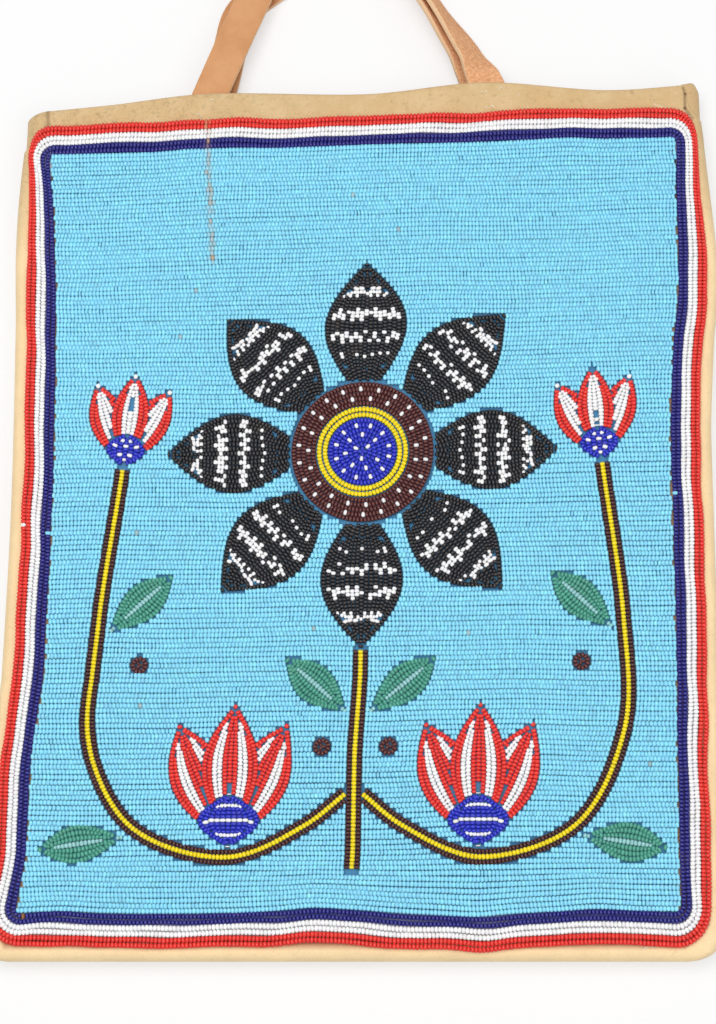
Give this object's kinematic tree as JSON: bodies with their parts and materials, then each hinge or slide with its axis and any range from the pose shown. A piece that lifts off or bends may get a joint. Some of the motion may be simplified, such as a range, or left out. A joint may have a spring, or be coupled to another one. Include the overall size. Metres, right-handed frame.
{
  "type": "beaded flat bag",
  "caption": "Flat hide bag with a narrow side gusset, a fully beaded front with a striped border and floral spray, and strap handles.",
  "frame": {"origin": "middle of the flat back panel, on the surface the bag lies on", "axes": "+Z out of the back panel through the beaded front, +Y from the closed foot to the open mouth, +X to the right as the beaded front is looked at with the mouth up"},
  "size_m": [0.2964, 0.462, 0.0172],
  "materials": {
    "hide": "soft suede",
    "strap_leather": "smooth one side, rough the other",
    "beads_sky_blue": "gloss",
    "beads_navy": "gloss",
    "beads_white": "gloss",
    "beads_red": "gloss",
    "beads_black": "gloss",
    "beads_royal_blue": "gloss",
    "beads_yellow": "gloss",
    "beads_green": "gloss",
    "beads_dark_red": "gloss"
  },
  "bodies": {
    "root": {"front_panel": "hide", "back_panel": "hide", "side_gusset": "hide", "handle_front": "strap_leather", "handle_back": "strap_leather", "ground_beads": "beads_sky_blue", "border_navy_beads": "beads_navy", "border_white_beads": "beads_white", "border_red_beads": "beads_red", "rosette_centre_beads": "beads_royal_blue", "rosette_ring_beads": "beads_yellow", "rosette_petal_beads": "beads_black", "main_stem_beads": "beads_yellow", "left_vine_beads": "beads_yellow", "left_tulip_cup_beads": "beads_royal_blue", "left_tulip_petal_beads": "beads_red", "left_bud_cup_beads": "beads_royal_blue", "left_bud_petal_beads": "beads_red", "left_stem_leaf_beads": "beads_green", "left_low_leaf_beads": "beads_green", "left_high_leaf_beads": "beads_green", "left_stem_berry_beads": "beads_dark_red", "left_vine_berry_beads": "beads_dark_red", "right_vine_beads": "beads_yellow", "right_tulip_cup_beads": "beads_royal_blue", "right_tulip_petal_beads": "beads_red", "right_bud_cup_beads": "beads_royal_blue", "right_bud_petal_beads": "beads_red", "right_stem_leaf_beads": "beads_green", "right_low_leaf_beads": "beads_green", "right_high_leaf_beads": "beads_green", "right_stem_berry_beads": "beads_dark_red", "right_vine_berry_beads": "beads_dark_red"}
  },
  "joints": []
}
